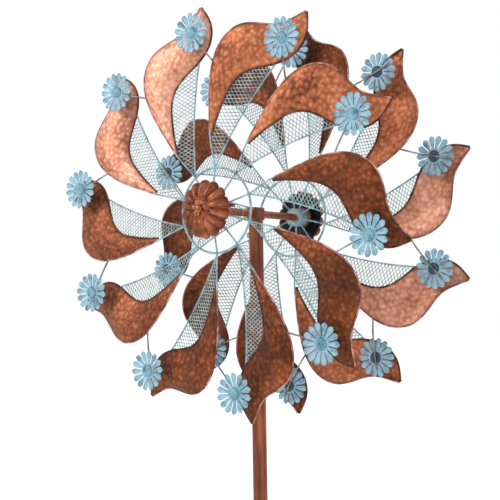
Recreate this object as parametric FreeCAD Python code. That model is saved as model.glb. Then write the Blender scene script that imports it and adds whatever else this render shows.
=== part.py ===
import FreeCAD, Part
import math
import os

# Garden wind spinner: two ten-bladed wheels turn freely, one at each end of a
# level axle on top of a pole that stands in the ground on a fork.
# Millimetres. +Z is up, the axle lies along Y, the front wheel is at -Y.
# The origin is on the pole's axis at ground level.

V = FreeCAD.Vector
O = V(0, 0, 0)
X_AXIS = V(1, 0, 0)
Y_AXIS = V(0, 1, 0)
Z_AXIS = V(0, 0, 1)

# Whole object
AXLE_HEIGHT = 1600.0      # axle centre above the ground
WHEEL_OFFSET = 96.0       # pole axis to each wheel's ring plane
BLADES = 10
FRONT_TURN = 18.7         # where each wheel happens to stand, degrees
REAR_TURN = 23.1
FIT = 0.05                # radial clearance of a running or sliding fit
WELD = 0.4                # how far a welded wire bites into its neighbour

# Blade, in its own flat layout: r runs outwards from the axle, t runs sideways
BLADE_PITCH = 11.3        # degrees that a blade is turned out of the wheel's plane
BLADE_FORWARD = 6.0       # how far the blade's root stands ahead of the ring plane
LEAF_THICK = 0.9
LEAF_DOME = 0.11          # dome height as a share of the leaf's width
MESH_THICK = 0.8
MESH_DOME = 0.02
EDGE_GAP = 0.9            # sheet edge to the wire's centre line, for mesh against leaf

# Each station is ((r, t) on the hollow edge, (r, t) on the full edge)
LEAF_STATIONS = [
    ((109.0, 0.0), (109.0, 3.0)),
    ((128.0, -7.0), (132.0, 3.0)),
    ((153.0, -18.5), (165.0, 2.5)),
    ((177.0, -33.0), (203.0, -2.0)),
    ((191.0, -51.0), (238.0, -16.0)),
    ((196.5, -75.0), (260.0, -46.0)),
    ((199.0, -101.0), (257.5, -82.0)),
    ((210.0, -129.0), (254.0, -106.0)),
    ((234.0, -146.0), (259.5, -128.0)),
    ((264.0, -150.0), (267.0, -146.5)),
]
NECK = 6                  # the station where the brace meets the hollow edge
BRACE_BOW = 6.0           # how far the brace bows from straight

# Wires
RING_R = 61.0             # the ring that all blades are welded to
RING_WIRE_R = 1.6
SPOKE_R = 1.3
RIB_R = 1.3               # root rib and the rim on the full edge
RIM_R = 1.5               # rim on the hollow edge
BRACE_R = 1.2
BRACE_STOP = 1.1           # brace end to the rim wire's centre line
STEM_R = 1.3
WIRE_SIDES = 8            # facets round a bent wire
WIRE_STEPS = 2            # facets along it between two route points

# Flowers
FLOWER_R = 29.5
PETALS = 14
PETAL_TIP_R = 4.6
PETAL_ROOT_W = 3.4
FLOWER_DISC_R = 11.0
PETAL_THICK = 1.2
BUTTON_R = 8.5
BUTTON_H = 5.0
STEM_ROUTE = [(213.5, -4.5), (224.0, 4.5), (236.0, 14.5), (256.0, 29.0), (273.0, 41.0)]
FLOWER_AT = (258.4, 30.9)

# Hub, measured outwards from the ring plane along the axle
BARREL_R = 14.0
BARREL_START = 3.0
BARREL_LEN = 27.0
BORE_LIP = 1.0            # wall left inside each end of the barrel
BEARING_R = 11.0
BEARING_LEN = 7.0
JOURNAL_R = 4.0
SPOKE_AT = 9.0            # where the spokes meet the barrel
CAP_R = 42.0
CAP_RIM_AT = 24.0         # the cap's rim plane
CAP_HEIGHT = 17.5
CAP_WALL = 1.4
CAP_SLEEVE_WALL = 2.0
BUD_R = 6.0
BUD_H = 3.5

# Axle and its fixings
AXLE_R = 5.5
WASHER_R = 7.0
WASHER_LEN = 1.2
LOCKNUT_FLATS = 11.0
LOCKNUT_LEN = 5.0
THREAD_PROUD = 1.0        # end of the journal beyond the locknut
BEARING_PLAY = 0.3        # end play between the wheel and what holds it
BRACKET_W = 17.0
BRACKET_L = 24.0
BRACKET_WALL = 4.0        # metal above and below the axle

# Pole
POLE_R = 10.5
POLE_WALL = 1.3
UPPER_POLE_LEN = 540.0
MIDDLE_POLE_LEN = 520.0
SPIGOT_LEN = 90.0
BOLT_R = 2.5
BOLT_HEAD_R = 4.6
BOLT_HEAD_H = 3.0
NUT_FLATS = 8.0
NUT_H = 4.0
BOLT_PITCH = 22.0         # from the joint line to the bolt on each side

# Ground fork
SOCKET_WALL = 2.0
SOCKET_LEN = 120.0
STEP_BAR_L = 260.0
STEP_BAR_W = 26.0
STEP_BAR_H = 6.0
SPIKE_R = 6.0
SPIKE_LEN = 230.0
SPIKE_POINT = 40.0
PRONG_R = 4.0
PRONG_LEN = 200.0
PRONG_POINT = 25.0
PRONG_PITCH = 58.0


def save(name, solids):
    shape = solids[0] if len(solids) == 1 else Part.makeCompound(solids)
    shape.exportStep("parts/" + name + ".step")


def lerp(a, b, share):
    return a + (b - a) * share


def blade_depth(t):
    """Depth along Y of the pitched blade at sideways place t; less is further forward."""
    return -BLADE_FORWARD - t * math.tan(math.radians(BLADE_PITCH))


def at(r, t, depth, hand):
    """A point of the blade layout in the wheel's frame; hand is 1 in front, -1 behind."""
    return V(hand * r, depth, t)


def curve_through(points):
    curve = Part.BSplineCurve()
    curve.interpolate(points)
    return curve


def wire_solid(points, radius):
    """A bent wire through the given points, faceted round and along its length."""
    curve = curve_through(points)
    first = curve.FirstParameter
    last = curve.LastParameter
    steps = WIRE_STEPS * (len(points) - 1)
    sections = []
    for step in range(steps + 1):
        place = lerp(first, last, step / steps)
        along = curve.tangent(place)[0]
        side = along.cross(Y_AXIS).normalize()
        lift = along.cross(side)
        corners = []
        for k in range(WIRE_SIDES):
            turn = 2.0 * math.pi * k / WIRE_SIDES
            corners.append(curve.value(place) + side * (radius * math.cos(turn))
                           + lift * (radius * math.sin(turn)))
        sections.append(Part.makePolygon(corners + [corners[0]]))
    return Part.makeLoft(sections, True, True)


def rod(start, end, radius):
    way = end - start
    return Part.makeCylinder(radius, way.Length, start, way)


def sheet_solid(grid, thick):
    """A thin closed sheet over a grid of points, half its thickness to each side in Y."""
    skins = []
    for side in (-0.5, 0.5):
        surface = Part.BSplineSurface()
        lift = V(0, side * thick, 0)
        surface.interpolate([[p + lift for p in row] for row in grid])
        skins.append(surface)
    faces = [skin.toShape() for skin in skins]
    for u_fixed in (True, False):
        for last in (False, True):
            edges = []
            for skin in skins:
                u0, u1, v0, v1 = skin.bounds()
                if u_fixed:
                    iso = skin.uIso(u1 if last else u0)
                else:
                    iso = skin.vIso(v1 if last else v0)
                edges.append(iso.toShape())
            faces.append(Part.makeRuledSurface(edges[0], edges[1]))
    shell = Part.makeShell(faces)
    shell.sewShape()
    solid = Part.Solid(shell)
    if solid.Volume < 0:
        solid.reverse()
    return solid


def domed_rows(pairs, dome, out):
    """Rows of five points from one edge to the other, domed outwards in between."""
    rows = []
    for low, high in pairs:
        width = (high - low).Length
        row = []
        for step in range(5):
            share = step / 4.0
            lift = out * dome * width * (1.0 - (2.0 * share - 1.0) ** 2)
            row.append(low + (high - low) * share + V(0, lift, 0))
        rows.append(row)
    return rows


def leaf(hand, out):
    pairs = []
    for (r0, t0), (r1, t1) in LEAF_STATIONS:
        pairs.append((at(r0, t0, blade_depth(t0), hand), at(r1, t1, blade_depth(t1), hand)))
    return sheet_solid(domed_rows(pairs, LEAF_DOME, out), LEAF_THICK)


def rib_points(hand):
    """The rib leaves the ring, reaches the leaf's tail and runs on round its full edge."""
    tail_r, tail_t = LEAF_STATIONS[0][1]
    tail_depth = blade_depth(tail_t)
    points = [at(RING_R, 0.0, 0.0, hand)]
    points.append(at(lerp(RING_R, tail_r, 0.5), lerp(0.0, tail_t, 0.5), tail_depth * 0.6, hand))
    points += [at(r, t, blade_depth(t), hand) for _, (r, t) in LEAF_STATIONS]
    return points


def rim_points(hand):
    """The rim runs from the tail along the hollow edge and the beak to the tip."""
    points = [at(r, t, blade_depth(t), hand) for (r, t), _ in LEAF_STATIONS]
    tip_r, tip_t = LEAF_STATIONS[-1][1]
    return points[:-1] + [at(tip_r - 0.6, tip_t - 1.2, blade_depth(tip_t), hand)]


def brace_point(share, hand):
    """Along the brace, 0 at the ring and 1 at the leaf's neck."""
    neck_r, neck_t = LEAF_STATIONS[NECK][0]
    bow = BRACE_BOW * 4.0 * share * (1.0 - share)
    length = math.hypot(neck_r - RING_R, neck_t)
    r = lerp(RING_R, neck_r, share) - bow * neck_t / length
    t = lerp(0.0, neck_t, share) + bow * (neck_r - RING_R) / length
    return at(r, t, blade_depth(neck_t) * share, hand)


def brace_points(hand):
    """The brace stops inside the rim wire, short of the leaf's own edge."""
    neck_r, neck_t = LEAF_STATIONS[NECK][0]
    reach = 1.0 - BRACE_STOP / math.hypot(neck_r - RING_R, neck_t)
    return [brace_point(reach * step / 4.0, hand) for step in range(5)]


def mesh_panel(hand, out):
    """The panel fills the space between the brace and the rib or the leaf's hollow edge."""
    neck_r, neck_t = LEAF_STATIONS[NECK][0]
    far = []
    for r in (RING_R + 12.0, RING_R + 30.0):
        tail_r, tail_t = LEAF_STATIONS[0][1]
        share = (r - RING_R) / (tail_r - RING_R)
        far.append((r, tail_t * share, blade_depth(tail_t) * share))
    for (r, t), _ in LEAF_STATIONS[0:NECK]:
        far.append((r, t, blade_depth(t)))
    far.append((lerp(LEAF_STATIONS[NECK - 1][0][0], neck_r, 0.7),
                lerp(LEAF_STATIONS[NECK - 1][0][1], neck_t, 0.7),
                blade_depth(lerp(LEAF_STATIONS[NECK - 1][0][1], neck_t, 0.7))))
    pairs = []
    for step, (r, t, depth) in enumerate(far):
        share = lerp(0.08, 0.93, step / (len(far) - 1.0))
        near = brace_point(share, hand)
        edge = at(r, t, depth, hand)
        inward = (near - edge).normalize()
        pairs.append((edge + inward * EDGE_GAP, near))
    return sheet_solid(domed_rows(pairs, MESH_DOME, out), MESH_THICK)


def stem_depth():
    return blade_depth(STEM_ROUTE[0][1]) - STEM_R


def stem(hand):
    """The stem leaves the leaf's full edge and runs straight across the flower's back."""
    points = []
    for step, (r, t) in enumerate(STEM_ROUTE):
        depth = blade_depth(t) if step == 0 else stem_depth()
        points.append(at(r, t, depth, hand))
    return wire_solid(points, STEM_R)


def petal():
    """One spoon-shaped petal on the XZ plane, pointing along +X."""
    tip = FLOWER_R - PETAL_TIP_R
    half = PETAL_ROOT_W / 2.0
    start = FLOWER_DISC_R * 0.6
    shoulder = V(tip, 0, PETAL_TIP_R)
    side_a = Part.LineSegment(V(start, 0, half), shoulder)
    side_b = Part.LineSegment(V(start, 0, -half), V(tip, 0, -PETAL_TIP_R))
    end = Part.Arc(shoulder, V(FLOWER_R, 0, 0), V(tip, 0, -PETAL_TIP_R))
    root = Part.LineSegment(V(start, 0, half), V(start, 0, -half))
    edges = [side_a.toShape(), end.toShape(), side_b.toShape(), root.toShape()]
    outline = Part.Wire(Part.__sortEdges__(edges))
    return Part.Face(outline).extrude(V(0, PETAL_THICK, 0))


def flower_plate():
    """Disc and petals cut from one sheet, its back at y = 0 and its middle on the Y axis."""
    disc = Part.makeCylinder(FLOWER_DISC_R, PETAL_THICK, O, Y_AXIS)
    petals = []
    for k in range(PETALS):
        piece = petal()
        piece.rotate(O, Y_AXIS, 360.0 * k / PETALS)
        petals.append(piece)
    return disc.multiFuse(petals)


def ball_cap(radius, height, base):
    """A solid cut from a ball, flat at base and rounded towards +Y."""
    ball_r = (radius ** 2 + height ** 2) / (2.0 * height)
    ball = Part.makeSphere(ball_r, V(0, base + height - ball_r, 0))
    keep = Part.makeCylinder(radius + 1.0, height + 1.0, V(0, base, 0), Y_AXIS)
    return ball.common(keep)


def flower_button():
    return ball_cap(BUTTON_R, BUTTON_H, 0.0)


def face_out(shape, out):
    """Turns a piece built towards +Y so that it faces the wheel's outer side."""
    turned = shape.copy()
    if out < 0:
        turned.rotate(O, Z_AXIS, 180.0)
    return turned


def on_flower(shape, lift, hand, out):
    """Puts a flower piece at its place; lift is its distance from the stem's centre line."""
    placed = face_out(shape, out)
    r, t = FLOWER_AT
    placed.translate(at(r, t, stem_depth() + out * lift, hand))
    return placed


def barrel():
    """The hub tube, with a shallow lip outside each bearing seat."""
    end = BARREL_START + BARREL_LEN
    tube = Part.makeCylinder(BARREL_R, BARREL_LEN, V(0, BARREL_START, 0), Y_AXIS)
    seat = Part.makeCylinder(BEARING_R, BARREL_LEN - BORE_LIP, V(0, BARREL_START, 0), Y_AXIS)
    mouth = Part.makeCylinder(BEARING_R - 2.0, BORE_LIP + 2.0, V(0, end - BORE_LIP - 1.0, 0), Y_AXIS)
    return tube.cut(seat).cut(mouth)


def bearings():
    """A bearing at each end of the barrel's seat, running on the journal."""
    end = BARREL_START + BARREL_LEN - BORE_LIP
    rings = []
    for start in (BARREL_START, end - BEARING_LEN):
        ring = Part.makeCylinder(BEARING_R, BEARING_LEN, V(0, start, 0), Y_AXIS)
        hole = Part.makeCylinder(JOURNAL_R + FIT, BEARING_LEN, V(0, start, 0), Y_AXIS)
        rings.append(ring.cut(hole))
    return rings


def cap():
    """The rosette: a hollow dome with a sleeve that grips the barrel's outer end."""
    outer = ball_cap(CAP_R, CAP_HEIGHT, CAP_RIM_AT)
    inner = ball_cap(CAP_R - CAP_WALL, CAP_HEIGHT - CAP_WALL, CAP_RIM_AT)
    post = Part.makeCylinder(BARREL_R + CAP_SLEEVE_WALL, CAP_HEIGHT, V(0, CAP_RIM_AT, 0), Y_AXIS)
    bore = Part.makeCylinder(BARREL_R, CAP_HEIGHT, V(0, CAP_RIM_AT, 0), Y_AXIS)
    sleeve = post.cut(bore).common(outer)
    return outer.cut(inner).fuse(sleeve)


def cap_bud():
    """The small raised bud welded on the rosette's crown."""
    return ball_cap(BUD_R, BUD_H + WELD, CAP_RIM_AT + CAP_HEIGHT - WELD)


def wheel_frame(out):
    """The ring and the spokes that slope from the barrel to it."""
    ring = Part.makeTorus(RING_R, RING_WIRE_R, O, Y_AXIS)
    spokes = []
    for k in range(BLADES):
        spoke = rod(V(BARREL_R - WELD, out * SPOKE_AT, 0), V(RING_R, 0, 0), SPOKE_R)
        spoke.rotate(O, Y_AXIS, 360.0 * k / BLADES)
        spokes.append(spoke)
    return ring.multiFuse(spokes)


def around(shape, hand, turn, k):
    """Blade number k of a wheel; the front wheel counts from its right, anticlockwise."""
    angle = turn + 360.0 * k / BLADES
    if hand < 0:
        angle += 180.0
    piece = shape.copy()
    piece.rotate(O, Y_AXIS, -angle)
    return piece


def make_wheel(name, hand, out, turn):
    """One wheel. Both wheels lean into wind from the front, with opposite hands."""
    centre = V(0, out * WHEEL_OFFSET, AXLE_HEIGHT)

    def placed(shape):
        piece = shape.copy()
        piece.translate(centre)
        return piece

    def all_round(shape):
        return [placed(around(shape, hand, turn, k)) for k in range(BLADES)]

    for k, piece in enumerate(all_round(leaf(hand, out))):
        save("%s_leaf_%02d" % (name, k + 1), [piece])
    save(name + "_mesh_panels", all_round(mesh_panel(hand, out)))
    save(name + "_rib_wires", all_round(wire_solid(rib_points(hand), RIB_R)))
    save(name + "_rim_wires", all_round(wire_solid(rim_points(hand), RIM_R)))
    save(name + "_brace_wires", all_round(wire_solid(brace_points(hand), BRACE_R)))
    save(name + "_flower_stems", all_round(stem(hand)))
    plate = on_flower(flower_plate(), STEM_R, hand, out)
    save(name + "_flower_petals", all_round(plate))
    button = on_flower(flower_button(), STEM_R + PETAL_THICK, hand, out)
    save(name + "_flower_buttons", all_round(button))
    save(name + "_ring_and_spokes", [placed(around(wheel_frame(out), hand, turn, 0))])
    save(name + "_hub_barrel", [placed(face_out(barrel(), out))])
    save(name + "_bearings", [placed(face_out(ring, out)) for ring in bearings()])
    save(name + "_cap", [placed(face_out(cap(), out))])
    save(name + "_cap_bud", [placed(face_out(cap_bud(), out))])


def hexagon_prism(flats, height, base, way):
    """A hexagonal prism about the line through base along way."""
    corner = flats / math.sqrt(3.0)
    points = [V(corner * math.cos(math.radians(60 * k)), corner * math.sin(math.radians(60 * k)), 0)
              for k in range(6)]
    prism = Part.Face(Part.makePolygon(points + [points[0]])).extrude(V(0, 0, height))
    prism.Placement = FreeCAD.Placement(base, FreeCAD.Rotation(Z_AXIS, way))
    return prism


def stack_places():
    """Distances from the pole of the barrel's two ends and of what sits beyond it."""
    inner = WHEEL_OFFSET + BARREL_START
    outer = inner + BARREL_LEN
    washer = outer + BEARING_PLAY
    nut = washer + WASHER_LEN
    return inner, outer, washer, nut


def axle():
    """A round bar with a thinner journal at each end for the wheel's bearings."""
    inner, outer, washer, nut = stack_places()
    shoulder = inner - BEARING_PLAY
    end = nut + LOCKNUT_LEN + THREAD_PROUD
    bar = Part.makeCylinder(AXLE_R, 2.0 * shoulder, V(0, -shoulder, AXLE_HEIGHT), Y_AXIS)
    journal = Part.makeCylinder(JOURNAL_R, 2.0 * end, V(0, -end, AXLE_HEIGHT), Y_AXIS)
    return bar.fuse(journal)


def axle_washers():
    washers = []
    for side in (-1, 1):
        start = V(0, side * stack_places()[2], AXLE_HEIGHT)
        disc = Part.makeCylinder(WASHER_R, WASHER_LEN, start, Y_AXIS * side)
        hole = Part.makeCylinder(JOURNAL_R, WASHER_LEN, start, Y_AXIS * side)
        washers.append(disc.cut(hole))
    return washers


def axle_locknuts():
    nuts = []
    for side in (-1, 1):
        start = V(0, side * stack_places()[3], AXLE_HEIGHT)
        nut = hexagon_prism(LOCKNUT_FLATS, LOCKNUT_LEN, start, Y_AXIS * side)
        hole = Part.makeCylinder(JOURNAL_R, LOCKNUT_LEN, start, Y_AXIS * side)
        nuts.append(nut.cut(hole))
    return nuts


def pole_top():
    return AXLE_HEIGHT - AXLE_R - BRACKET_WALL


def axle_bracket():
    """The head that clamps the axle, with a plug that fills the top of the pole."""
    base = pole_top()
    height = 2.0 * (AXLE_R + BRACKET_WALL)
    block = Part.makeBox(BRACKET_W, BRACKET_L, height, V(-BRACKET_W / 2.0, -BRACKET_L / 2.0, base))
    block = block.makeFillet(2.0, block.Edges)
    plug = Part.makeCylinder(POLE_R - POLE_WALL, SPIGOT_LEN / 2.0,
                             V(0, 0, base - SPIGOT_LEN / 2.0 + 2.5), Z_AXIS)
    bore = Part.makeCylinder(AXLE_R, BRACKET_L + 2.0, V(0, -BRACKET_L / 2.0 - 1.0, AXLE_HEIGHT), Y_AXIS)
    hole = bolt_hole(base - BOLT_PITCH)
    return block.fuse(plug).cut(bore).cut(hole)


def joint_heights():
    """Heights of the lines where two pole sections meet, highest first."""
    first = pole_top() - UPPER_POLE_LEN
    return [first, first - MIDDLE_POLE_LEN]


def bolt_heights():
    """Heights of all cross bolts: the head's, two at each joint and the socket's."""
    heights = [pole_top() - BOLT_PITCH]
    for joint in joint_heights():
        heights += [joint + BOLT_PITCH, joint - BOLT_PITCH]
    return heights + [socket_bolt_height()]


def socket_bolt_height():
    return STEP_BAR_H + SOCKET_LEN - BOLT_PITCH


def bolt_hole(height):
    return Part.makeCylinder(BOLT_R, 4.0 * POLE_R, V(-2.0 * POLE_R, 0, height), X_AXIS)


def tube(outer, inner, low, high):
    body = Part.makeCylinder(outer, high - low, V(0, 0, low), Z_AXIS)
    return body.cut(Part.makeCylinder(inner, high - low, V(0, 0, low), Z_AXIS))


def drilled(shape, low, high):
    """Cuts a cross hole for every bolt between two heights."""
    for height in bolt_heights():
        if low < height < high:
            shape = shape.cut(bolt_hole(height))
    return shape


def pole_section(low, high):
    return drilled(tube(POLE_R, POLE_R - POLE_WALL, low, high), low, high)


def pole_spigots():
    """Plugs that join two pole sections from inside."""
    spigots = []
    for joint in joint_heights():
        low = joint - SPIGOT_LEN / 2.0
        high = joint + SPIGOT_LEN / 2.0
        plug = Part.makeCylinder(POLE_R - POLE_WALL, SPIGOT_LEN, V(0, 0, low), Z_AXIS)
        spigots.append(drilled(plug, low, high))
    return spigots


def bolt_seat(height):
    """Distance from the pole's axis to the wall that a bolt's head bears on."""
    if height == socket_bolt_height():
        return POLE_R + FIT + SOCKET_WALL
    return POLE_R


def pole_bolts():
    bolts = []
    for height in bolt_heights():
        seat = bolt_seat(height)
        shank = Part.makeCylinder(BOLT_R, 2.0 * seat + NUT_H + 1.0, V(-seat - NUT_H - 1.0, 0, height), X_AXIS)
        head = Part.makeCylinder(BOLT_HEAD_R, BOLT_HEAD_H, V(seat, 0, height), X_AXIS)
        bolts.append(shank.fuse(head))
    return bolts


def pole_nuts():
    nuts = []
    for height in bolt_heights():
        start = V(-bolt_seat(height), 0, height)
        nut = hexagon_prism(NUT_FLATS, NUT_H, start, X_AXIS * -1)
        hole = Part.makeCylinder(BOLT_R, NUT_H, start, X_AXIS * -1)
        nuts.append(nut.cut(hole))
    return nuts


def ground_socket():
    """The tube on the fork that the pole's foot stands in."""
    low = STEP_BAR_H
    high = STEP_BAR_H + SOCKET_LEN
    body = tube(POLE_R + FIT + SOCKET_WALL, POLE_R + FIT, low, high)
    return drilled(body, low, high)


def step_bar():
    bar = Part.makeBox(STEP_BAR_L, STEP_BAR_W, STEP_BAR_H,
                       V(-STEP_BAR_L / 2.0, -STEP_BAR_W / 2.0, 0))
    upright = [e for e in bar.Edges if abs(e.tangentAt(e.FirstParameter).z) > 0.9]
    return bar.makeFillet(STEP_BAR_W / 2.0 - 1.0, upright)


def pointed_rod(radius, length, point, x):
    shank = Part.makeCylinder(radius, length - point, V(x, 0, point - length), Z_AXIS)
    tip = Part.makeCone(1.0, radius, point, V(x, 0, -length), Z_AXIS)
    return shank.fuse(tip)


def side_prongs():
    prongs = []
    for side in (-2, -1, 1, 2):
        prongs.append(pointed_rod(PRONG_R, PRONG_LEN, PRONG_POINT, side * PRONG_PITCH))
    return prongs


def make_stand():
    save("axle", [axle()])
    save("axle_washers", axle_washers())
    save("axle_locknuts", axle_locknuts())
    save("axle_bracket", [axle_bracket()])
    upper, lower = joint_heights()
    save("pole_upper", [pole_section(upper, pole_top())])
    save("pole_middle", [pole_section(lower, upper)])
    save("pole_lower", [pole_section(STEP_BAR_H, lower)])
    save("pole_spigots", pole_spigots())
    save("pole_bolts", pole_bolts())
    save("pole_nuts", pole_nuts())
    save("ground_socket", [ground_socket()])
    save("step_bar", [step_bar()])
    save("centre_spike", [pointed_rod(SPIKE_R, SPIKE_LEN, SPIKE_POINT, 0.0)])
    save("side_prongs", side_prongs())


os.makedirs("parts", exist_ok=True)
make_stand()
make_wheel("front", 1, -1, FRONT_TURN)
make_wheel("rear", -1, 1, REAR_TURN)
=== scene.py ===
import math

import bmesh
import bpy
import numpy as np
from mathutils import Matrix, Vector


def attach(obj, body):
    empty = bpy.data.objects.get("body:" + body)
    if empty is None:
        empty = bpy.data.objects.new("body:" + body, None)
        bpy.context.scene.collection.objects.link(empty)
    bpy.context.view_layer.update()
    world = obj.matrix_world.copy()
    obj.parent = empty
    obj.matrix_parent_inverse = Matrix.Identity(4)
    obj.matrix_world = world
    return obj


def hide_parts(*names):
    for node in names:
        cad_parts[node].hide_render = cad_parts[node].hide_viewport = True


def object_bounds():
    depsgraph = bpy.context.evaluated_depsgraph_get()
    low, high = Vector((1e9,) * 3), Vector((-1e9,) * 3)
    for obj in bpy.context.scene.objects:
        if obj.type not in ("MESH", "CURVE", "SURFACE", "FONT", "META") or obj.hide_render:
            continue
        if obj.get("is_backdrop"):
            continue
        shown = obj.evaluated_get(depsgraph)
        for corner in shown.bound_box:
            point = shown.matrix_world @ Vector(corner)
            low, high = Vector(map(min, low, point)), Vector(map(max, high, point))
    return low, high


# Garden wind spinner: hammered copper leaves, verdigris mesh, blue daisies.
# Metres, in the frame's own axes: +Z up, the axle along Y, the front wheel at -Y.

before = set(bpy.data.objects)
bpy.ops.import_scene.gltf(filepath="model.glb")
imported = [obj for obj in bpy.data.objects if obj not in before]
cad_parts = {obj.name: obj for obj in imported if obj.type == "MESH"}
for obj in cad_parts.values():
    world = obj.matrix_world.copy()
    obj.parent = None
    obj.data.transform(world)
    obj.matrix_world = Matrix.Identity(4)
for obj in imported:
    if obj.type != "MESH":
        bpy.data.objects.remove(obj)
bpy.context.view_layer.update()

MM = 0.001

# ---------------------------------------------------------------- sizes
AXLE_HEIGHT = 1600 * MM
WHEEL_OFFSET = 96 * MM
BLADES = 10
WHEELS = {"front": {"hand": 1, "out": -1, "turn": 18.7}, "rear": {"hand": -1, "out": 1, "turn": 23.1}}

BLADE_SLOPE = math.tan(math.radians(11.3))
BLADE_FORWARD = 6 * MM
LEAF_THICK = 0.9 * MM
LEAF_DOME = 0.11
# (r, t) on the hollow edge, (r, t) on the full edge, millimetres
LEAF_STATIONS = [
    ((109.0, 0.0), (109.0, 3.0)),
    ((128.0, -7.0), (132.0, 3.0)),
    ((153.0, -18.5), (165.0, 2.5)),
    ((177.0, -33.0), (203.0, -2.0)),
    ((191.0, -51.0), (238.0, -16.0)),
    ((196.5, -75.0), (260.0, -46.0)),
    ((199.0, -101.0), (257.5, -82.0)),
    ((210.0, -129.0), (254.0, -106.0)),
    ((234.0, -146.0), (259.5, -128.0)),
    ((264.0, -150.0), (267.0, -146.5)),
]
NECK = 6
BRACE_BOW = 6 * MM
RING_R = 61 * MM
RIB_R = 1.25 * MM
RIM_R = 1.45 * MM
BRACE_R = 1.15 * MM
STEM_R = 1.25 * MM
# (r, t), millimetres
STEM_ROUTE = [(213.5, -4.5), (224.0, 4.5), (236.0, 14.5), (256.0, 29.0), (273.0, 41.0)]
FLOWER_AT = (258.4, 30.9)
ROOT_LAP = 8.0                           # millimetres of bare rib past the leaf's tail
ROOT_STEPS = 24
RIB_STEPS = 100
RIM_STEPS = 80
BRACE_STEPS = 24
STEM_STEPS = 26

LEAF_ALONG = 120                         # points along a leaf
LEAF_ACROSS = 34                         # points across a leaf
EDGE_FADE = 3.5 * MM                     # width over which the marks fade out at the edge
HAMMER_PITCH = 8.0 * MM
HAMMER_ROW = 0.87                        # row spacing as a share of the pitch
HAMMER_SHIFT = 0.26                      # how far a mark strays, as a share of the pitch
HAMMER_SPREAD = 0.34                     # a mark's size as a share of the pitch
HAMMER_DEPTH = 1.15 * MM
STRAND_PITCH = 4.9 * MM
STRAND_W = 0.6 * MM
STRAND_LEAN = 58.0                       # degrees either side of the blade's length
STRAND_STEP = 9 * MM
SHORTEST_STRAND = 1.5 * MM

PETALS = 14
FLOWER_R = 29.2 * MM
BUTTON_R = 8.8 * MM
BUTTON_H = 5.2 * MM

CAP_R = 41.8 * MM
CAP_HEIGHT = 17.3 * MM
CAP_RIM_AT = 24 * MM
CAP_LOBES = 14
ROSETTE_STEPS = 168
ROSETTE_RINGS = 40
ROSETTE_OUTER = ROSETTE_STEPS * ROSETTE_RINGS     # points on the rosette's outer skin
SLEEVE_R = 16 * MM
SLEEVE_BORE = 14.05 * MM
SLEEVE_LEN = 11 * MM


# ---------------------------------------------------------------- shapes
def new_object(name, verts, faces, smooth=True):
    mesh = bpy.data.meshes.new(name)
    mesh.from_pydata([tuple(v) for v in verts], [], faces)
    mesh.validate()
    mesh.polygons.foreach_set("use_smooth", [smooth] * len(mesh.polygons))
    mesh.update()
    piece = bpy.data.objects.new(name, mesh)
    bpy.context.scene.collection.objects.link(piece)
    return piece


def chords(points):
    return np.r_[0.0, np.cumsum(np.linalg.norm(np.diff(points, axis=0), axis=1))]


def smooth_curve(points, count, knots=None):
    """A natural cubic through the points, sampled evenly in its knots."""
    points = np.array(points, float)
    t = chords(points) if knots is None else knots
    n = len(points)
    h = np.diff(t)
    a = np.zeros((n, n))
    b = np.zeros_like(points)
    a[0, 0] = a[-1, -1] = 1.0
    for i in range(1, n - 1):
        a[i, i - 1] = h[i - 1]
        a[i, i] = 2.0 * (h[i - 1] + h[i])
        a[i, i + 1] = h[i]
        b[i] = 6.0 * ((points[i + 1] - points[i]) / h[i] - (points[i] - points[i - 1]) / h[i - 1])
    m = np.linalg.solve(a, b)
    x = np.linspace(t[0], t[-1], count)
    i = np.clip(np.searchsorted(t, x, side="right") - 1, 0, n - 2)
    left = (t[i + 1] - x)[:, None]
    right = (x - t[i])[:, None]
    g = h[i][:, None]
    return ((m[i] * left ** 3 + m[i + 1] * right ** 3) / (6.0 * g)
            + (points[i] / g - m[i] * g / 6.0) * left
            + (points[i + 1] / g - m[i + 1] * g / 6.0) * right)


def tube(path, radius, sides=10):
    """Verts and faces of a closed round wire along a path."""
    path = np.array(path)
    along = np.gradient(path, axis=0)
    along /= np.linalg.norm(along, axis=1)[:, None]
    side = np.cross(along, [0.0, 1.0, 0.0])
    side /= np.linalg.norm(side, axis=1)[:, None]
    lift = np.cross(along, side)
    turn = np.arange(sides) * 2.0 * math.pi / sides
    verts = (path[:, None] + radius * (np.cos(turn)[None, :, None] * side[:, None]
                                       + np.sin(turn)[None, :, None] * lift[:, None])).reshape(-1, 3)
    faces = []
    for i in range(len(path) - 1):
        for k in range(sides):
            n = (k + 1) % sides
            faces.append((i * sides + k, i * sides + n, (i + 1) * sides + n, (i + 1) * sides + k))
    faces.append(tuple(range(sides))[::-1])
    last = (len(path) - 1) * sides
    faces.append(tuple(last + k for k in range(sides)))
    return verts, faces


def joined(parts):
    verts = []
    faces = []
    for more, shapes in parts:
        base = len(verts)
        verts.extend(more)
        faces.extend(tuple(base + i for i in face) for face in shapes)
    return verts, faces


def face_outwards(piece):
    """Recalculates a closed mesh's normals."""
    work = bmesh.new()
    work.from_mesh(piece.data)
    bmesh.ops.recalc_face_normals(work, faces=work.faces)
    work.to_mesh(piece.data)
    work.free()
    piece.data.update()


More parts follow.
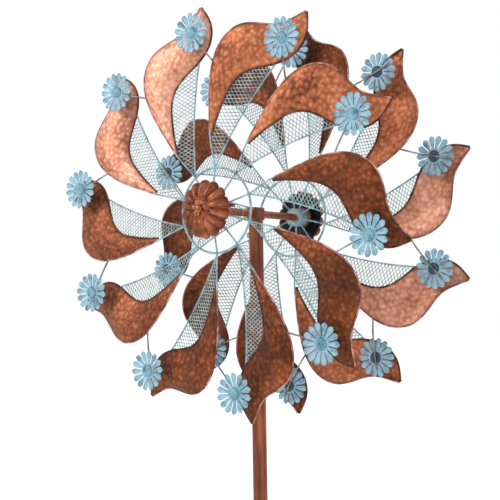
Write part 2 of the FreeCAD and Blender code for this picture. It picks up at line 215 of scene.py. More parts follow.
def walled_sheet(grid, shift):
    """A closed wall between a grid of points moved by -shift and by +shift."""
    rows, cols = grid.shape[:2]
    verts = np.concatenate([(grid - shift).reshape(-1, 3), (grid + shift).reshape(-1, 3)])
    top = rows * cols
    faces = []
    for i in range(rows - 1):
        for j in range(cols - 1):
            a, b, c, d = i * cols + j, i * cols + j + 1, (i + 1) * cols + j + 1, (i + 1) * cols + j
            faces.append((a, b, c, d))
            faces.append((top + d, top + c, top + b, top + a))
    rim = [j for j in range(cols)]
    rim += [i * cols + cols - 1 for i in range(1, rows)]
    rim += [(rows - 1) * cols + j for j in range(cols - 2, -1, -1)]
    rim += [i * cols for i in range(rows - 2, 0, -1)]
    for k, a in enumerate(rim):
        b = rim[(k + 1) % len(rim)]
        faces.append((b, a, top + a, top + b))
    return verts, faces


# ---------------------------------------------------------------- blade layout
def blade_depth(t):
    return -BLADE_FORWARD - t * BLADE_SLOPE


def at(r, t, depth, hand):
    return (hand * r, depth, t)


def edge_points(side, hand):
    points = []
    for station in LEAF_STATIONS:
        r, t = station[side][0] * MM, station[side][1] * MM
        points.append(at(r, t, blade_depth(t), hand))
    return np.array(points)


def brace_point(share, hand):
    neck_r, neck_t = LEAF_STATIONS[NECK][0][0] * MM, LEAF_STATIONS[NECK][0][1] * MM
    bow = BRACE_BOW * 4.0 * share * (1.0 - share)
    length = math.hypot(neck_r - RING_R, neck_t)
    r = RING_R + (neck_r - RING_R) * share - bow * neck_t / length
    t = neck_t * share + bow * (neck_r - RING_R) / length
    return at(r, t, blade_depth(neck_t) * share, hand)


def rib_route(hand):
    full = edge_points(1, hand)
    tail_t = LEAF_STATIONS[0][1][1] * MM
    middle = (RING_R + LEAF_STATIONS[0][1][0] * MM) / 2.0
    lead = [at(RING_R, 0.0, 0.0, hand), at(middle, tail_t / 2.0, blade_depth(tail_t) * 0.6, hand)]
    return smooth_curve(np.vstack([lead, full]), RIB_STEPS)


def rib_root(hand):
    """The bare stretch of the rib, from the ring to just past the leaf's tail."""
    route = rib_route(hand)
    return route[np.abs(route[:, 0]) < (LEAF_STATIONS[0][1][0] + ROOT_LAP) * MM][:ROOT_STEPS]


def rib_rim(hand):
    """The stretch of the rib that edges the leaf."""
    return rib_route(hand)[len(rib_root(hand)) - 1:]


def rim_route(hand):
    hollow = edge_points(0, hand)
    tip_r, tip_t = LEAF_STATIONS[-1][1][0] * MM, LEAF_STATIONS[-1][1][1] * MM
    end = at(tip_r - 1 * MM, tip_t - 2 * MM, blade_depth(tip_t), hand)
    return smooth_curve(np.vstack([hollow[:-1], [end]]), RIM_STEPS)


def brace_route(hand):
    return np.array([brace_point(k / BRACE_STEPS, hand) for k in range(BRACE_STEPS + 1)])


def stem_depth():
    return blade_depth(STEM_ROUTE[0][1] * MM) - STEM_R


def stem_route(hand):
    points = []
    for step, (r, t) in enumerate(STEM_ROUTE):
        depth = blade_depth(t * MM) if step == 0 else stem_depth()
        points.append(at(r * MM, t * MM, depth, hand))
    return smooth_curve(points, STEM_STEPS)


# ---------------------------------------------------------------- leaf
def hammer_marks(r, t, seed):
    """Relief of a hammered sheet, 0 between the marks to about 1 on each raised one."""
    rng = np.random.default_rng(seed)
    cells = []
    for row, y in enumerate(np.arange(-0.160, 0.012, HAMMER_PITCH * HAMMER_ROW)):
        for x in np.arange(0.100, 0.275, HAMMER_PITCH):
            cells.append((x + (row % 2) * HAMMER_PITCH / 2.0, y))
    cells = np.array(cells) + rng.uniform(-HAMMER_SHIFT, HAMMER_SHIFT, (len(cells), 2)) * HAMMER_PITCH
    strength = rng.uniform(0.55, 1.0, len(cells))
    flat = np.stack([r.ravel(), t.ravel()], -1)
    gap = np.linalg.norm(flat[:, None] - cells[None], axis=2) / (HAMMER_PITCH * HAMMER_SPREAD)
    relief = (strength * np.exp(-gap ** 2)).sum(1)
    return np.clip(relief, 0.0, 1.2).reshape(r.shape)


def leaf_mesh(name, wheel, k):
    hand, out = wheel["hand"], wheel["out"]
    low, high = edge_points(0, hand), edge_points(1, hand)
    knots = chords((low + high) / 2.0)
    low = smooth_curve(low, LEAF_ALONG, knots)
    high = smooth_curve(high, LEAF_ALONG, knots)
    v = np.linspace(0.0, 1.0, LEAF_ACROSS)[None, :, None]
    width = np.linalg.norm(high - low, axis=1)[:, None]
    grid = low[:, None] + (high - low)[:, None] * v
    across = v[..., 0]
    relief = hammer_marks(grid[..., 0] * hand, grid[..., 2], 11 + k + 40 * (out > 0))
    near_edge = np.clip(np.minimum(across, 1.0 - across) * width / EDGE_FADE, 0, 1)
    lift = LEAF_DOME * width * (1.0 - (2.0 * across - 1.0) ** 2)
    grid[..., 1] += out * (lift + HAMMER_DEPTH * relief * near_edge)
    verts, faces = walled_sheet(grid, np.array([0.0, LEAF_THICK / 2.0, 0.0]))
    piece = new_object(name, verts, faces)
    face_outwards(piece)
    for label, values in (("relief", relief * near_edge), ("inner", near_edge)):
        store = piece.data.attributes.new(label, "FLOAT", "POINT")
        store.data.foreach_set("value", np.tile(values.ravel(), 2))
    return piece


# ---------------------------------------------------------------- expanded mesh
def panel_outline(hand):
    """The closed outline of the panel, in (r, t), and the depth of each of its points."""
    hollow = edge_points(0, hand)[: NECK + 1]
    tail_r, tail_t, tail_y = abs(hollow[0][0]), hollow[0][2], hollow[0][1]
    lead = [at(RING_R + (tail_r - RING_R) * s, tail_t * s, tail_y * s, hand) for s in (0.06, 0.35, 0.68)]
    far = smooth_curve(np.vstack([lead, hollow]), 60)
    near = np.array([brace_point(s, hand) for s in np.linspace(0.985, 0.03, 50)])
    ring = np.vstack([far, near])
    return np.stack([ring[:, 0] * hand, ring[:, 2], ring[:, 1]], -1)


def surface_terms(a, b):
    """The terms of a quadratic surface over (a, b)."""
    return np.stack([np.ones_like(a), a, b, a * a, a * b, b * b], -1)


def panel_strands(hand):
    """The expanded metal: two crossing sets of strands cut off at the panel's outline."""
    outline = panel_outline(hand)
    r, t, y = outline.T
    scale = 0.1
    fit = np.linalg.lstsq(surface_terms(r / scale, t / scale), y, rcond=None)[0]
    neck = LEAF_STATIONS[NECK][0]
    heading = math.atan2(neck[1] * MM, neck[0] * MM - RING_R)
    parts = []
    for lean in (STRAND_LEAN, -STRAND_LEAN):
        angle = heading + math.radians(lean)
        way = np.array([math.cos(angle), math.sin(angle)])
        normal = np.array([-way[1], way[0]])
        place = outline[:, :2] @ normal
        for offset in np.arange(place.min() + STRAND_PITCH / 3.0, place.max(), STRAND_PITCH):
            hits = []
            for i in range(len(outline)):
                a, b = outline[i - 1, :2], outline[i, :2]
                da, db = a @ normal - offset, b @ normal - offset
                if (da < 0) != (db < 0):
                    hits.append(float((a + (b - a) * da / (da - db)) @ way))
            hits.sort()
            for start, end in zip(hits[::2], hits[1::2]):
                if end - start < SHORTEST_STRAND:
                    continue
                steps = max(2, int((end - start) / STRAND_STEP) + 1)
                s = np.linspace(start, end, steps)
                flat = way[None] * s[:, None] + normal[None] * offset
                depth = surface_terms(flat[:, 0] / scale, flat[:, 1] / scale) @ fit
                path = np.stack([flat[:, 0] * hand, depth, flat[:, 1]], -1)
                parts.append(tube(path, STRAND_W, 4))
    return joined(parts)


# ---------------------------------------------------------------- daisy
def petal_mesh():
    """One spoon petal along +X with raised edges and a crease, facing +Y."""
    rows, cols = 13, 7
    grid = np.zeros((rows, cols, 3))
    for i in range(rows):
        s = i / (rows - 1.0)
        x = 7.5 * MM + (FLOWER_R - 7.5 * MM) * s
        if s < 0.72:
            half = (1.6 + 3.0 * (s / 0.72) ** 1.5) * MM
        else:
            half = 4.6 * MM * math.sqrt(max(0.02, 1.0 - ((s - 0.72) / 0.29) ** 2))
        for j in range(cols):
            v = 2.0 * j / (cols - 1.0) - 1.0
            cup = 1.1 * MM * abs(v) ** 1.6 * min(1.0, s * 2.2) - 0.25 * MM * (1.0 - abs(v)) * s
            grid[i, j] = (x, cup + 1.6 * MM * s ** 2 + 0.6 * MM, half * v)
    return walled_sheet(grid, np.array([0.0, 0.3 * MM, 0.0]))


def turned_shell(profile, steps, relief=None):
    """A shell turned about Y; profile is (radius, height) and relief shifts each point."""
    verts = []
    for radius, height in profile:
        for k in range(steps):
            angle = 2.0 * math.pi * k / steps
            r, y = (radius, height) if relief is None else relief(radius, height, angle)
            verts.append((r * math.cos(angle), y, r * math.sin(angle)))
    faces = []
    rings = len(profile)
    for i in range(rings):
        n = (i + 1) % rings
        for k in range(steps):
            m = (k + 1) % steps
            faces.append((i * steps + k, i * steps + m, n * steps + m, n * steps + k))
    return verts, faces


def button_mesh():
    """The beaded dome at the daisy's centre, hollow behind."""
    def beads(radius, height, angle):
        share = radius / BUTTON_R
        if height < 1.5 * MM and share > 0.9:
            return radius, height
        count = max(6, int(round(22 * share)))
        bump = 0.45 * MM * math.sin(count * angle / 2.0) ** 2 * math.sin(share * math.pi * 4.5) ** 2
        return radius, height + bump
    outer = []
    for k in range(13):
        share = 1.0 - k / 12.6
        outer.append((BUTTON_R * share, 1.0 * MM + BUTTON_H * math.sqrt(max(0.0, 1.0 - share ** 2))))
    inner = [(max(radius - 0.7 * MM, 0.25 * MM), height - 0.7 * MM) for radius, height in outer[::-1]]
    return turned_shell(outer + inner, 44, beads)


def collar_mesh():
    """The rolled ring around the button's foot, which joins the petals' roots."""
    profile = []
    for k in range(10):
        angle = 2.0 * math.pi * k / 10
        profile.append((9.6 * MM + 1.9 * MM * math.cos(angle), 1.0 * MM + 0.8 * MM * math.sin(angle)))
    return turned_shell(profile, 40)


def daisy_back_painted_shade_mesh():
    """The dark sheet seen behind the daisy, across the button's hollow underside: painted shade."""
    profile = [(8.4 * MM, 0.7 * MM), (8.6 * MM, -0.25 * MM), (0.4 * MM, -0.1 * MM), (0.3 * MM, 0.7 * MM)]
    return turned_shell(profile, 40)


# ---------------------------------------------------------------- rosette cap
def rosette_mesh():
    """A fluted cushion: rounded lobes with sharp valleys and a second whorl."""
    def flutes(radius, height, angle):
        share = min(1.0, radius / CAP_R)
        lobe = abs(math.sin(CAP_LOBES * angle / 2.0)) ** 0.55
        whorl = abs(math.sin(CAP_LOBES * angle / 4.0 + 0.6)) ** 0.6
        outer = max(0.0, min(1.0, (share - 0.36) / 0.16))
        inner = max(0.0, min(1.0, (share - 0.07) / 0.1)) * (1.0 - outer)
        r = radius * (1.0 - 0.10 * (1.0 - lobe) * outer)
        y = height - 4.6 * MM * (1.0 - lobe) * outer - 3.2 * MM * (1.0 - whorl) * inner
        y -= 3.0 * MM * math.exp(-((share - 0.37) / 0.055) ** 2)
        y -= 1.8 * MM * math.exp(-((share - 0.13) / 0.035) ** 2)
        return r, max(y, 0.0)
    outer = []
    for k in range(ROSETTE_RINGS):
        share = math.cos(math.pi / 2.0 * k / (ROSETTE_RINGS - 0.4))
        outer.append((CAP_R * share, CAP_HEIGHT * math.sqrt(max(0.0, 1.0 - share ** 2.4))))
    inner = []
    for k in range(24):
        share = math.sin(math.pi / 2.0 * (k + 0.4) / 23.4)
        height = CAP_HEIGHT * math.sqrt(max(0.0, 1 - share ** 2.4)) - 6.2 * MM
        inner.append((CAP_R * share * 0.9, max(0.0, height)))
    steps = ROSETTE_STEPS
    verts, faces = turned_shell(outer, steps, flutes)
    faces = faces[: (len(outer) - 1) * steps]
    more, shapes = turned_shell(inner, steps)
    base = len(verts)
    verts = list(verts) + list(more)
    faces += [tuple(base + i for i in f) for f in shapes[: (len(inner) - 1) * steps]]
    for k in range(steps):
        m = (k + 1) % steps
        last = base + (len(inner) - 1) * steps
        faces.append((k, m, last + m, last + k))
    faces.append(tuple((len(outer) - 1) * steps + k for k in range(steps)))
    faces.append(tuple(base + k for k in range(steps)))
    return verts, faces


def bud_mesh():
    outer = [(6.0 * MM * math.cos(a), 3.4 * MM * math.sin(a) - 0.6 * MM)
             for a in np.linspace(0.0, math.pi / 2.0 - 0.03, 12)]
    verts, faces = turned_shell(outer, 40, lambda r, y, a: (r * (1 + 0.05 * math.cos(7 * a)), y))
    faces = faces[: 11 * 40]
    faces.append(tuple(range(40)))
    faces.append(tuple(11 * 40 + k for k in range(40)))
    return verts, faces


def sleeve_mesh():
    profile = [(SLEEVE_R, 0.0), (SLEEVE_R, SLEEVE_LEN), (SLEEVE_BORE, SLEEVE_LEN), (SLEEVE_BORE, 0.0)]
    return turned_shell(profile, 48)


# ---------------------------------------------------------------- repeats
def round_tree():
    """Copies a piece evenly round an axis along Y, then lifts the ring to its centre."""
    tree = bpy.data.node_groups.new("copies_round_axle", "GeometryNodeTree")
    sockets = tree.interface
    sockets.new_socket("Piece", in_out="INPUT", socket_type="NodeSocketGeometry")
    sockets.new_socket("Count", in_out="INPUT", socket_type="NodeSocketInt")
    sockets.new_socket("Start turn", in_out="INPUT", socket_type="NodeSocketFloat")
    sockets.new_socket("Centre", in_out="INPUT", socket_type="NodeSocketVector")
    sockets.new_socket("Finish", in_out="INPUT", socket_type="NodeSocketMaterial")
    sockets.new_socket("Ring", in_out="OUTPUT", socket_type="NodeSocketGeometry")
    nodes, links = tree.nodes, tree.links
    given = nodes.new("NodeGroupInput")
    points = nodes.new("GeometryNodePoints")
    index = nodes.new("GeometryNodeInputIndex")
    step = nodes.new("ShaderNodeMath")
    step.operation = "DIVIDE"
    step.inputs[0].default_value = 2.0 * math.pi
    angle = nodes.new("ShaderNodeMath")
    angle.operation = "MULTIPLY_ADD"
    turn = nodes.new("ShaderNodeCombineXYZ")
    copies = nodes.new("GeometryNodeInstanceOnPoints")
    real = nodes.new("GeometryNodeRealizeInstances")
    move = nodes.new("GeometryNodeTransform")
    paint = nodes.new("GeometryNodeSetMaterial")
    result = nodes.new("NodeGroupOutput")
    links.new(given.outputs["Count"], points.inputs["Count"])
    links.new(given.outputs["Count"], step.inputs[1])
    links.new(index.outputs[0], angle.inputs[0])
    links.new(step.outputs[0], angle.inputs[1])
    links.new(given.outputs["Start turn"], angle.inputs[2])
    links.new(angle.outputs[0], turn.inputs["Y"])
    links.new(points.outputs[0], copies.inputs["Points"])
    links.new(given.outputs["Piece"], copies.inputs["Instance"])
    links.new(turn.outputs[0], copies.inputs["Rotation"])
    links.new(copies.outputs[0], move.inputs["Geometry"])
    links.new(given.outputs["Centre"], move.inputs["Translation"])
    links.new(move.outputs[0], real.inputs[0])
    links.new(real.outputs[0], paint.inputs["Geometry"])
    links.new(given.outputs["Finish"], paint.inputs["Material"])
    links.new(paint.outputs[0], result.inputs[0])
    return tree


COPIES = round_tree()


def ring_of(name, seed_piece, count, turn, centre, finish):
    """A plain mesh of count copies of seed_piece, which is used up."""
    modifier = seed_piece.modifiers.new("copies", "NODES")
    modifier.node_group = COPIES
    ids = {item.name: item.identifier for item in COPIES.interface.items_tree if item.in_out == "INPUT"}
    modifier[ids["Count"]] = count
    modifier[ids["Start turn"]] = turn
    modifier[ids["Centre"]] = centre
    modifier[ids["Finish"]] = finish
    bpy.context.view_layer.update()
    graph = bpy.context.evaluated_depsgraph_get()
    mesh = bpy.data.meshes.new_from_object(seed_piece.evaluated_get(graph))
    mesh.name = name
    bpy.data.objects.remove(seed_piece)
    piece = bpy.data.objects.new(name, mesh)
    bpy.context.scene.collection.objects.link(piece)
    return piece


# ---------------------------------------------------------------- finishes
class Wire:
    """A shader socket that can be used in plain arithmetic."""

    def __init__(self, finish, socket):
        self.finish = finish
        self.socket = socket

    def _math(self, operation, a, b):
        return self.finish.add("ShaderNodeMath", {"operation": operation}, {0: a, 1: b})

    def __add__(self, other):
        return self._math("ADD", self, other)

    def __rsub__(self, other):
        return self._math("SUBTRACT", other, self)

    def __mul__(self, other):
        return self._math("MULTIPLY", self, other)

    __radd__ = __add__
    __rmul__ = __mul__


class Finish:
    """A material whose nodes are added one call at a time."""

    def __init__(self, name):
        self.material = bpy.data.materials.new(name)
        self.material.use_nodes = True
        self.nodes = self.material.node_tree.nodes
        self.links = self.material.node_tree.links
        self.shader = self.nodes["Principled BSDF"]

    def add(self, kind, settings=None, inputs=None, out=0):
        node = self.nodes.new(kind)
        for key, value in (settings or {}).items():
            if key == "stops":
                ramp = node.color_ramp
                while len(ramp.elements) < len(value):
                    ramp.elements.new(1.0)
                for element, (place, colour) in zip(ramp.elements, value):
                    element.position = place
                    element.color = (*colour, 1.0)
            else:
                setattr(node, key, value)
        for key, value in (inputs or {}).items():
            self.put(node.inputs[key], value)
        return Wire(self, node.outputs[out])

    def put(self, socket, value):
        if isinstance(value, Wire):
            self.links.new(value.socket, socket)
        else:
            socket.default_value = value

    def where(self):
        return self.add("ShaderNodeTexCoord", out="Object")

    def noise(self, scale, detail=3.0, rough=0.55):
        return self.add("ShaderNodeTexNoise", {}, {"Vector": self.where(), "Scale": scale,
                                                   "Detail": detail, "Roughness": rough})

    def attribute(self, name):
        return self.add("ShaderNodeAttribute", {"attribute_name": name}, out="Fac")

    def ramp(self, value, stops):
        return self.add("ShaderNodeValToRGB", {"stops": stops}, {"Fac": value})

    def mix(self, share, a, b):
        node = self.nodes.new("ShaderNodeMix")
        node.data_type = "RGBA"
        self.put(node.inputs["Factor"], share)
        self.put(node.inputs[6], a)
        self.put(node.inputs[7], b)
        return Wire(self, node.outputs[2])

    def bump(self, height, distance, strength=0.6):
        return self.add("ShaderNodeBump", {},
                        {"Height": height, "Distance": distance, "Strength": strength})

    def surface(self, **values):
        for key, value in values.items():
            self.put(self.shader.inputs[key.replace("_", " ")], value)
        return self.material


def hammered_copper(name, tones):
    """Hammered copper in one of four lit and shaded tone lists: painted light and shade. Each list runs
    from the hollows to the raised marks, which come out lighter, partly as polish and partly as a painted
    highlight; the colour also darkens towards the leaf's edges.
    """
    f = Finish(name)
    patch = f.noise(16.0, 4.0)
    fleck = f.noise(125.0, 2.0, 0.5)
    speck = f.noise(420.0, 3.0)
    relief = f.attribute("relief")
    # Raised hammer marks come out lighter in colour: partly polish, partly a painted highlight.
    tone_and_highlight = relief * 0.17 + patch * 0.45 + fleck * 0.22 + speck * 0.16
    colour = f.ramp(tone_and_highlight, list(zip((0.32, 0.43, 0.53, 0.66), tones)))
    edge = f.attribute("inner")
    colour = f.mix((1.0 - edge) * 0.3, colour, (*tones[0], 1.0))
    return f.surface(Base_Color=colour, Metallic=0.7, Roughness=0.40 + speck * 0.25,
                     Normal=f.bump(fleck * 0.7 + speck * 0.3, 0.0008, 0.5))


def rim_copper(name, tones):
    """Wire along a leaf's edge, rubbed bright in places."""
    f = Finish(name)
    wear = f.noise(70.0, 4.0)
    colour = f.ramp(wear, list(zip((0.38, 0.52, 0.66), tones)))
    return f.surface(Base_Color=colour, Metallic=0.5, Roughness=0.35 + wear * 0.2,
                     Normal=f.bump(wear, 0.0003))


def satin_copper():
    f = Finish("satin_copper")
    patch = f.noise(55.0, 5.0)
    fine = f.noise(420.0, 2.0)
    colour = f.ramp(patch, [(0.34, (0.085, 0.020, 0.008)), (0.52, (0.24, 0.064, 0.026)),
                            (0.70, (0.46, 0.16, 0.080))])
    return f.surface(Base_Color=colour, Metallic=0.7, Roughness=0.28 + fine * 0.18,
                     Normal=f.bump(fine, 0.0003, 0.4))


def blue_patina(name, light, dark):
    """Chalky blue over darker verdigris, brushed thin in places."""
    f = Finish(name)
    patch = f.noise(75.0, 5.0, 0.6)
    grain = f.noise(520.0, 3.0)
    rubbed = tuple(min(1.0, c * 1.28) for c in light)
    colour = f.ramp(patch * 0.7 + grain * 0.3, [(0.36, dark), (0.52, light), (0.72, rubbed)])
    return f.surface(Base_Color=colour, Metallic=0.25, Roughness=0.42 + grain * 0.25,
                     Normal=f.bump(grain, 0.0003, 0.6))


def brushed_bronze():
    """Brown-red paint with orange streaks brushed along the tube."""
    f = Finish("brushed_bronze")
    where = f.add("ShaderNodeMapping", {}, {"Vector": f.where(), "Scale": (150.0, 150.0, 9.0)})
    streak = f.add("ShaderNodeTexNoise", {}, {"Vector": where, "Scale": 1.0, "Detail": 5.0})
    patch = f.noise(14.0, 3.0)
    colour = f.ramp(streak * 0.65 + patch * 0.35,
                    [(0.34, (0.055, 0.014, 0.008)), (0.50, (0.20, 0.048, 0.018)),
                     (0.70, (0.42, 0.12, 0.040))])
    return f.surface(Base_Color=colour, Metallic=0.45, Roughness=0.34 + streak * 0.2,
                     Normal=f.bump(streak, 0.0003, 0.5))


def zinc_steel():
    f = Finish("zinc_steel")
    grain = f.noise(300.0, 3.0)
    colour = f.ramp(grain, [(0.3, (0.30, 0.30, 0.31)), (0.7, (0.52, 0.52, 0.54))])
    return f.surface(Base_Color=colour, Metallic=0.95, Roughness=0.3 + grain * 0.2,
                     Normal=f.bump(grain, 0.0002, 0.4))


# Four copies of one copper, from painted shade to painted light, each kept on its leaf as the wheel turns.
LEAF_PAINTED_SHADE = hammered_copper("hammered_copper_painted_shade", [(0.034, 0.009, 0.003), (0.100, 0.025, 0.007),
                                                      (0.20, 0.049, 0.013), (0.42, 0.130, 0.045)])
LEAF_PAINTED_HALF_SHADE = hammered_copper("hammered_copper_painted_half_shade", [(0.060, 0.016, 0.006), (0.17, 0.046, 0.016),
                                                       (0.31, 0.092, 0.034), (0.58, 0.23, 0.11)])
LEAF_PAINTED_HALF_LIGHT = hammered_copper("hammered_copper_painted_half_light", [(0.12, 0.032, 0.012), (0.35, 0.104, 0.042),
                                                      (0.55, 0.19, 0.085), (0.80, 0.38, 0.21)])
LEAF_PAINTED_LIGHT = hammered_copper("hammered_copper_painted_light", [(0.24, 0.085, 0.048), (0.52, 0.215, 0.130),
                                                     (0.70, 0.35, 0.235), (0.88, 0.56, 0.43)])
# Painted light and shade for each front leaf at rest, in blade order.
FRONT_PAINTED_LIGHT_TONES = [LEAF_PAINTED_SHADE, LEAF_PAINTED_HALF_LIGHT, LEAF_PAINTED_HALF_LIGHT, LEAF_PAINTED_LIGHT, LEAF_PAINTED_LIGHT,
               LEAF_PAINTED_HALF_SHADE, LEAF_PAINTED_HALF_SHADE, LEAF_PAINTED_SHADE, LEAF_PAINTED_SHADE, LEAF_PAINTED_SHADE]
# One copper edge wire in two copies: the hollow edge's rim painted dark as painted shade, the full edge's
# rib painted rose as a painted highlight.
RIM_PAINTED_SHADE = rim_copper("rim_painted_shade", [(0.020, 0.008, 0.006), (0.075, 0.024, 0.014), (0.20, 0.08, 0.05)])
RIM_LIT = rim_copper("rim_painted_highlight", [(0.10, 0.035, 0.026), (0.33, 0.135, 0.105), (0.60, 0.33, 0.28)])
STEM_FINISH = rim_copper("stem_patina", [(0.14, 0.055, 0.035), (0.22, 0.19, 0.20), (0.32, 0.42, 0.48)])
CAP_COPPER = satin_copper()
# Near-black inside of the rosette: painted shade in the cap's hollow.
INSIDE_PAINTED_SHADE = rim_copper("rosette_inside_painted_shade", [(0.006, 0.007, 0.008), (0.014, 0.017, 0.019), (0.035, 0.042, 0.046)])
MESH_BLUE = blue_patina("verdigris_mesh", (0.38, 0.50, 0.50), (0.12, 0.19, 0.20))
WIRE_BLUE = blue_patina("blue_wire", (0.27, 0.42, 0.47), (0.07, 0.13, 0.15))
DAISY_BLUE = blue_patina("daisy_blue", (0.25, 0.43, 0.53), (0.075, 0.165, 0.22))
BUTTON_BLUE = blue_patina("button_blue", (0.18, 0.36, 0.43), (0.045, 0.12, 0.155))
# Near-black blue for the sheet behind each daisy: painted shade.
DAISY_BACK_PAINTED_SHADE = blue_patina("daisy_back_painted_shade", (0.035, 0.075, 0.095), (0.010, 0.022, 0.030))
BRONZE = brushed_bronze()
STEEL = zinc_steel()


# ---------------------------------------------------------------- wheels
def turn_piece(piece, wheel, k):
    """Turns a blade piece to its place k on the wheel and lifts it to the axle."""
    angle = wheel["turn"] + 360.0 * k / BLADES + (180.0 if wheel["hand"] < 0 else 0.0)
    place = Matrix.Translation((0.0, wheel["out"] * WHEEL_OFFSET, AXLE_HEIGHT))
    piece.data.transform(place @ Matrix.Rotation(-math.radians(angle), 4, "Y"))
    return piece


def wheel_ring(name, shape, wheel, finish, body, *nodes):
    """Ten copies of a blade piece as one mesh on its wheel, standing for CAD nodes."""
    seed = new_object(name + "_one", *shape)
    face_outwards(seed)
    angle = wheel["turn"] + (180.0 if wheel["hand"] < 0 else 0.0)
    centre = (0.0, wheel["out"] * WHEEL_OFFSET, AXLE_HEIGHT)
    piece = ring_of(name, seed, BLADES, -math.radians(angle), centre, finish)
    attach(piece, body)
    if nodes:
        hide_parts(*nodes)
    return piece


def on_flower(piece, wheel):
    """Places a daisy piece built towards +Y on the blade's stem."""
    out, hand = wheel["out"], wheel["hand"]
    facing = Matrix.Rotation(math.pi, 4, "Z") if out < 0 else Matrix.Identity(4)
    r, t = FLOWER_AT
    spot = at(r * MM, t * MM, stem_depth() + out * STEM_R, hand)
    piece.data.transform(Matrix.Translation(spot) @ facing)
    return piece


def mesh_parts(piece):
    verts = [tuple(v.co) for v in piece.data.vertices]
    faces = [tuple(f.vertices) for f in piece.data.polygons]
    bpy.data.objects.remove(piece)
    return verts, faces


def on_hub(name, shape, wheel, lift, finish, body, *nodes):
    piece = new_object(name, *shape)
    face_outwards(piece)
    out = wheel["out"]
    facing = Matrix.Rotation(math.pi, 4, "Z") if out < 0 else Matrix.Identity(4)
    place = Matrix.Translation((0.0, out * (WHEEL_OFFSET + lift), AXLE_HEIGHT))
    piece.data.transform(place @ facing)
    piece.data.materials.append(finish)
    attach(piece, body)
    if nodes:
        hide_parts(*nodes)
    return piece


def painted_light_tone_of(side, leaf, k):
    """Which of the four copper tones this leaf gets: painted light and shade, set on the front wheel by the
    leaf's number and on the rear by where its middle sits, lit to the right and low down, shaded to the
    left.
    """
    if side == "front":
        return FRONT_PAINTED_LIGHT_TONES[k]
    middle = sum((v.co for v in leaf.data.vertices), Vector()) / len(leaf.data.vertices)
    x, z = middle.x, middle.z - AXLE_HEIGHT
    # Painted light for leaves to the right and low, painted shade for leaves to the left.
    painted_lit, painted_half_lit = x > 0.08 and z < 0.10, x > 0.08 or (x > 0.0 and z < -0.1)
    return LEAF_PAINTED_LIGHT if painted_lit else LEAF_PAINTED_HALF_LIGHT if painted_half_lit else LEAF_PAINTED_SHADE


def make_wheel(side, wheel):
    hand, body = wheel["hand"], side + "_wheel"
    for k in range(BLADES):
        piece = turn_piece(leaf_mesh("%s_hammered_leaf_%02d" % (side, k + 1), wheel, k), wheel, k)
        # Each leaf takes a painted light or painted shade copy of the copper.
        piece.data.materials.append(painted_light_tone_of(side, piece, k))
        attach(piece, body)
        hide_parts("%s_leaf_%02d" % (side, k + 1))
    wheel_ring(side + "_mesh_strands", panel_strands(hand), wheel, MESH_BLUE, body, side + "_mesh_panels")
    wheel_ring(side + "_rib_roots", tube(rib_root(hand), RIB_R), wheel, WIRE_BLUE, body,
               side + "_rib_wires")
    # The full edge's rib takes the painted highlight copy and the hollow edge's rim the painted shade copy.
    wheel_ring(side + "_rib_rims", tube(rib_rim(hand), RIB_R), wheel, RIM_LIT, body)
    wheel_ring(side + "_rims", tube(rim_route(hand), RIM_R), wheel, RIM_PAINTED_SHADE, body, side + "_rim_wires")
    wheel_ring(side + "_braces", tube(brace_route(hand), BRACE_R), wheel, WIRE_BLUE, body,
               side + "_brace_wires")
    wheel_ring(side + "_stems", tube(stem_route(hand), STEM_R), wheel, STEM_FINISH, body,
               side + "_flower_stems")
    petal = new_object(side + "_petal", *petal_mesh())
    face_outwards(petal)
    whorl = on_flower(ring_of(side + "_whorl", petal, PETALS, 0.0, (0.0, 0.0, 0.0), DAISY_BLUE), wheel)
    collar = on_flower(new_object(side + "_collar", *collar_mesh()), wheel)
    wheel_ring(side + "_daisies", joined([mesh_parts(whorl), mesh_parts(collar)]), wheel, DAISY_BLUE, body,
               side + "_flower_petals")
    button = on_flower(new_object(side + "_button", *button_mesh()), wheel)
    wheel_ring(side + "_daisy_buttons", mesh_parts(button), wheel, BUTTON_BLUE, body,
               side + "_flower_buttons")
    # The dark sheet behind each button is painted shade.
    hollow = on_flower(new_object(side + "_hollow", *daisy_back_painted_shade_mesh()), wheel)
    wheel_ring(side + "_daisy_hollows", mesh_parts(hollow), wheel, DAISY_BACK_PAINTED_SHADE, body)
    rosette = on_hub(side + "_rosette", rosette_mesh(), wheel, CAP_RIM_AT, CAP_COPPER, body, side + "_cap")
    # The inner shell's faces take the painted shade.
    rosette.data.materials.append(INSIDE_PAINTED_SHADE)
    for face in rosette.data.polygons:
        hidden = all(i >= ROSETTE_OUTER for i in face.vertices)
        face.material_index = 1 if hidden else 0
    on_hub(side + "_rosette_bud", bud_mesh(), wheel, CAP_RIM_AT + CAP_HEIGHT, CAP_COPPER, body,
           side + "_cap_bud")
    on_hub(side + "_rosette_sleeve", sleeve_mesh(), wheel, CAP_RIM_AT, CAP_COPPER, body)


for side, wheel in WHEELS.items():
    make_wheel(side, wheel)

STEEL_NODES = {"axle_washers", "axle_locknuts", "front_bearings", "rear_bearings",
               "pole_bolts", "pole_nuts"}
BLUE_NODES = {"front_ring_and_spokes", "rear_ring_and_spokes", "front_hub_barrel", "rear_hub_barrel"}
for name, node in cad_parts.items():
    finish = STEEL if name in STEEL_NODES else WIRE_BLUE if name in BLUE_NODES else BRONZE
    node.data.materials.clear()
    node.data.materials.append(finish)


# ---------------------------------------------------------------- studio
FLOOR_HALF = 60
FLOOR_DROP = 1 * MM                      # floor below the spikes' tips
# name, place, size in metres and power in watts
LAMPS = [("key_light", (-1.6, -2.2, 3.2), 1.2, 44.0),
         ("side_light", (2.4, -1.6, 2.0), 1.5, 14.0),
         ("back_light", (0.5, 2.6, 2.8), 1.5, 18.0)]
EYE_ROUND, EYE_ABOVE, EYE_DISTANCE = 37.66, -4.56, 1.7597     # degrees, degrees, metres
EYE_PAN, EYE_TILT, EYE_ROLL = -1.54, 1.86, -0.94              # degrees
EYE_LENS, EYE_SENSOR = 89.0, 36.0                             # millimetres


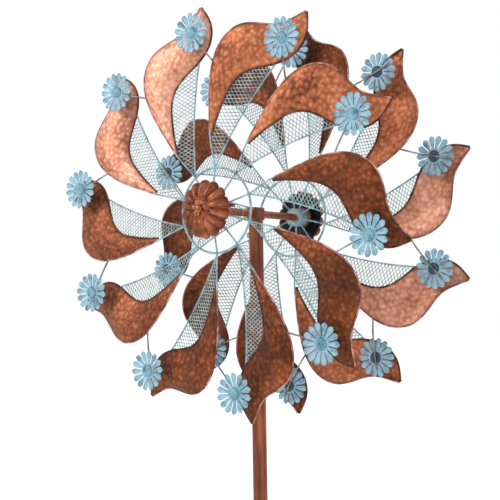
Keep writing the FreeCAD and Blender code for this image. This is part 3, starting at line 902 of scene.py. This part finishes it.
def studio():
    corners = [(-FLOOR_HALF, -FLOOR_HALF, 0), (FLOOR_HALF, -FLOOR_HALF, 0),
               (FLOOR_HALF, FLOOR_HALF, 0), (-FLOOR_HALF, FLOOR_HALF, 0)]
    floor = new_object("studio_floor", corners, [(0, 1, 2, 3)], False)
    floor.data.transform(Matrix.Translation((0, 0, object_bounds()[0][2] - FLOOR_DROP)))
    paint = Finish("studio_floor")
    floor.data.materials.append(paint.surface(Base_Color=(0.9, 0.9, 0.9, 1.0), Roughness=0.8,
                                               Emission_Color=(1.0, 1.0, 1.0, 1.0), Emission_Strength=0.5))
    floor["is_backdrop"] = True
    world = bpy.data.worlds.new("studio")
    world.use_nodes = True
    sky = world.node_tree
    sky.nodes["Background"].inputs[0].default_value = (1.0, 1.0, 1.0, 1.0)
    ray = sky.nodes.new("ShaderNodeLightPath")
    strength = sky.nodes.new("ShaderNodeMapRange")
    strength.inputs["To Min"].default_value = 0.7
    strength.inputs["To Max"].default_value = 1.0
    sky.links.new(ray.outputs["Is Camera Ray"], strength.inputs["Value"])
    sky.links.new(strength.outputs["Result"], sky.nodes["Background"].inputs[1])
    bpy.context.scene.world = world
    centre = Vector((0.0, 0.0, AXLE_HEIGHT))
    for label, spot, size, power in LAMPS:
        lamp = bpy.data.lights.new(label, "AREA")
        lamp.size = size
        lamp.energy = power
        lamp_object = bpy.data.objects.new(label, lamp)
        lamp_object.location = spot
        lamp_object.rotation_euler = (Vector(spot) - centre).to_track_quat("Z", "Y").to_euler()
        bpy.context.scene.collection.objects.link(lamp_object)


def camera():
    """Stands 1.76 m from the front wheel, 38 degrees round to the right and a little below."""
    around, above, roll = math.radians(EYE_ROUND), math.radians(EYE_ABOVE), math.radians(EYE_ROLL)
    look_around, look_above = around + math.radians(EYE_PAN), above + math.radians(EYE_TILT)

    def away(a, e):
        return Vector((math.sin(a) * math.cos(e), -math.cos(a) * math.cos(e), math.sin(e)))

    back = away(look_around, look_above)
    right = Vector((math.cos(look_around), math.sin(look_around), 0.0))
    up = back.cross(right)
    x_axis = right * math.cos(roll) + up * math.sin(roll)
    y_axis = up * math.cos(roll) - right * math.sin(roll)
    place = Vector((0.0, -WHEEL_OFFSET, AXLE_HEIGHT)) + away(around, above) * EYE_DISTANCE
    lens = bpy.data.cameras.new("studio_camera")
    lens.lens = EYE_LENS
    lens.sensor_width = EYE_SENSOR
    eye = bpy.data.objects.new("studio_camera", lens)
    eye.matrix_world = Matrix.Translation(place) @ Matrix((x_axis, y_axis, back)).transposed().to_4x4()
    bpy.context.scene.collection.objects.link(eye)
    bpy.context.scene.camera = eye


studio()
camera()
bpy.context.scene.view_settings.view_transform = "Standard"
